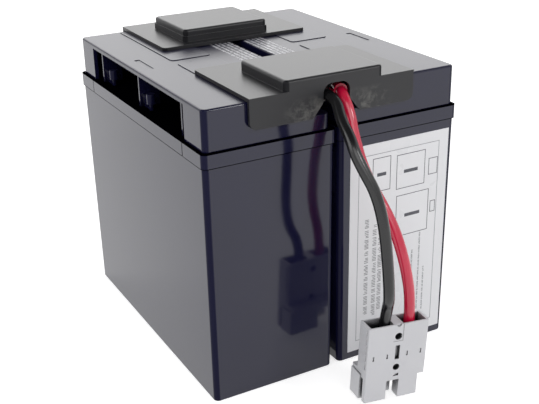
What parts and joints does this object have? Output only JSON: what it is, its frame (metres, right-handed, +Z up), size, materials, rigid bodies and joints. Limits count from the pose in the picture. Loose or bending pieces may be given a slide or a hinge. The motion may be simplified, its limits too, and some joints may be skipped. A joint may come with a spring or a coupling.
{
  "type": "battery cartridge",
  "caption": "Replacement battery cartridge for a rack UPS: sealed lead-acid blocks side by side under end covers, with red and black leads to a grey power connector.",
  "frame": {"origin": "on the floor, at the middle of the pair of blocks across and of the end covers along", "axes": "+Z up, +Y along the blocks towards the series link, +X across the pair towards the labelled block"},
  "size_m": [0.1568, 0.2365, 0.1766],
  "materials": {
    "case_plastic": "polished moulded ABS",
    "cover_plastic": "fine spark-eroded texture",
    "vent_rubber": "moulded",
    "seal_resin": "cast resin",
    "lead_alloy": "cast, dull grey",
    "positive_paste": "cured paste, dull brown",
    "negative_paste": "cured paste, dull grey",
    "glass_mat": "felted glass fibre",
    "foam": "closed-cell foam",
    "zinc_steel": "bright zinc",
    "tinned_copper": "tinned",
    "black_insulation": "smooth soft PVC",
    "red_insulation": "smooth soft PVC",
    "label_film": "printed film",
    "connector_plastic": "moulded polycarbonate",
    "silvered_copper": "silver plated",
    "spring_steel": "bright"
  },
  "bodies": {
    "root": {"left_container": "case_plastic", "left_lid": "case_plastic", "left_front_vent_plate": "case_plastic", "left_rear_vent_plate": "case_plastic", "left_vent_caps": "vent_rubber", "left_terminals": "lead_alloy", "left_terminal_seals": "seal_resin", "left_positive_groups": "positive_paste", "left_negative_groups": "negative_paste", "left_separators": "glass_mat", "right_container": "case_plastic", "right_lid": "case_plastic", "right_front_vent_plate": "case_plastic", "right_rear_vent_plate": "case_plastic", "right_vent_caps": "vent_rubber", "right_terminals": "lead_alloy", "right_terminal_seals": "seal_resin", "right_positive_groups": "positive_paste", "right_negative_groups": "negative_paste", "right_separators": "glass_mat", "front_cover": "cover_plastic", "rear_cover": "cover_plastic", "foam_tapes": "foam", "terminal_bolts": "zinc_steel", "spring_washers": "zinc_steel", "flat_washers": "zinc_steel", "black_lug": "tinned_copper", "red_lug": "tinned_copper", "series_link": "tinned_copper", "black_lead": "black_insulation", "red_lead": "red_insulation", "face_label": "label_film", "connector_housing": "connector_plastic", "black_contact": "silvered_copper", "red_contact": "silvered_copper", "contact_springs": "spring_steel"}
  },
  "joints": []
}
